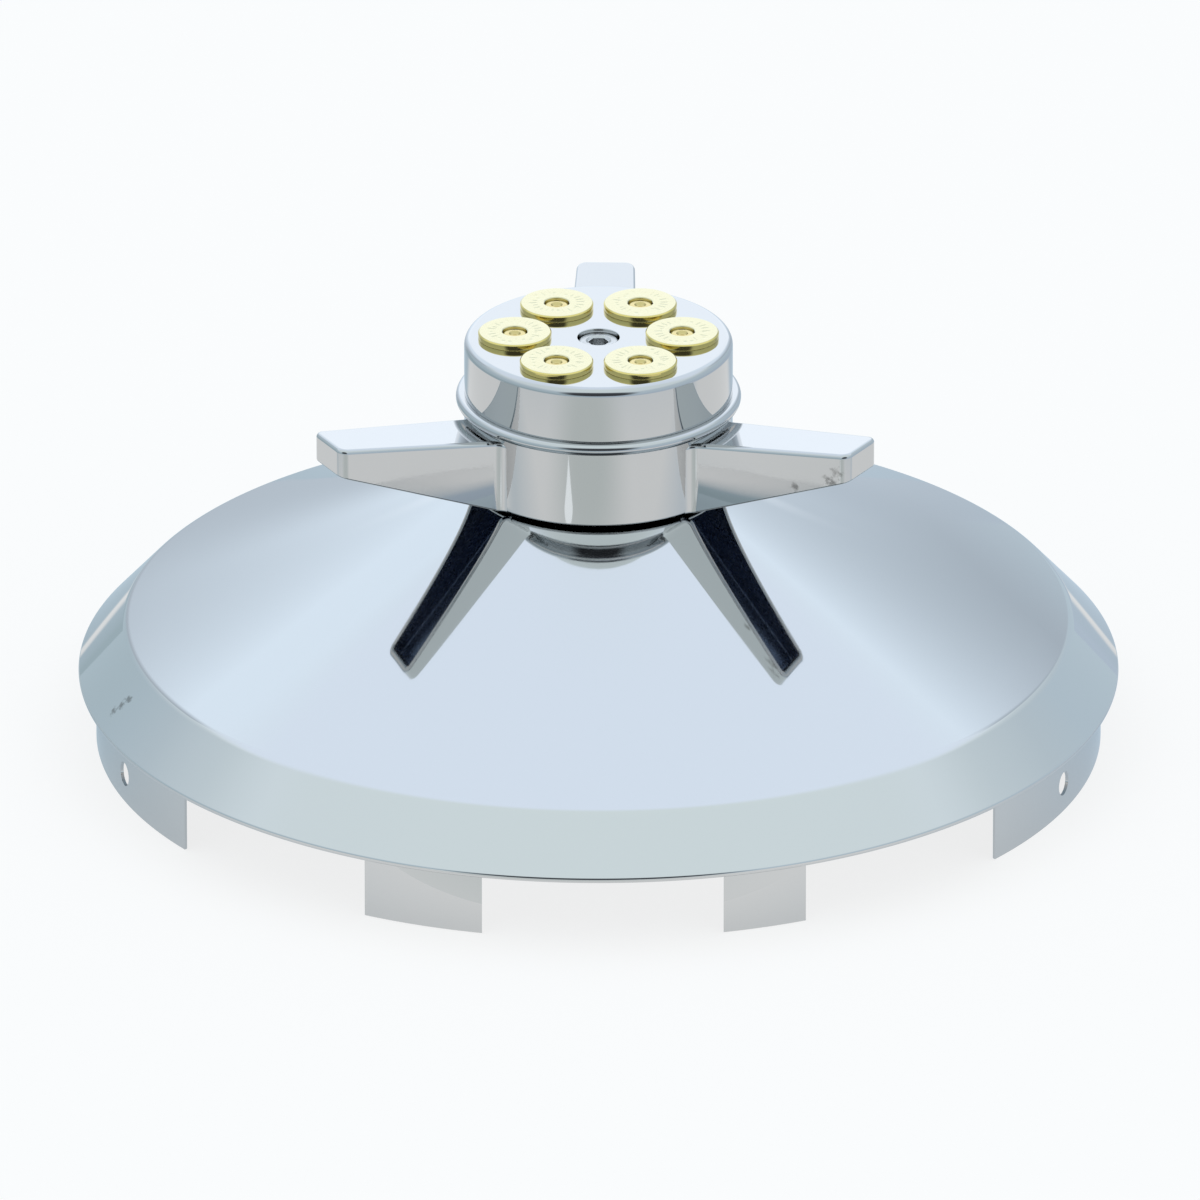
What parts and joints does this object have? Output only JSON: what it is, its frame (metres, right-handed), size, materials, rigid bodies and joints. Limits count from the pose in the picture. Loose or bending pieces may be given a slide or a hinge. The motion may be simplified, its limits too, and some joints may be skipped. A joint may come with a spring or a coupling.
{
  "type": "spinner hubcap",
  "caption": "Chromed cone-shaped wheel hubcap with a slotted grip lip and a bladed spinner that turns on its peak, topped by a round cap set with brass case heads.",
  "frame": {"origin": "centre of the cap at the lower edge of the lip's tabs, on the spinner's axis", "axes": "+Z along the axis away from the wheel, +Y towards the rear spinner bar of the picture, +X to the right"},
  "size_m": [0.2248, 0.2248, 0.094],
  "materials": {
    "chromed_sheet": "pressed steel sheet, bright chrome plated",
    "chromed_casting": "die-cast zinc, polished and bright chrome plated",
    "chromed_turning": "turned, polished and bright chrome plated",
    "plated_screw": "chrome plated socket screw",
    "case_brass": "polished cartridge brass",
    "primer_brass": "polished brass, struck",
    "turned_steel": "turned steel",
    "zinc_steel": "zinc plated steel",
    "bronze": "sintered bronze",
    "nylon": "natural nylon"
  },
  "bodies": {
    "cap": {"cap_shell": "chromed_sheet", "flange_bush": "bronze", "backing_washer": "zinc_steel", "bush_nut": "zinc_steel", "thrust_washer": "nylon"},
    "spinner": {"spinner_body": "chromed_casting", "top_cap": "chromed_turning", "centre_screw": "plated_screw", "spindle": "turned_steel", "spindle_washer": "zinc_steel", "lock_nut": "zinc_steel", "case_1": "case_brass", "case_2": "case_brass", "case_3": "case_brass", "case_4": "case_brass", "case_5": "case_brass", "case_6": "case_brass", "primer_1": "primer_brass", "primer_2": "primer_brass", "primer_3": "primer_brass", "primer_4": "primer_brass", "primer_5": "primer_brass", "primer_6": "primer_brass"}
  },
  "joints": [
    {"name": "spinner_spin", "type": "hinge", "parent": "cap", "child": "spinner", "pos_m": [0, 0, 0.0632], "axis": [0, 0, 1], "continuous": true}
  ]
}
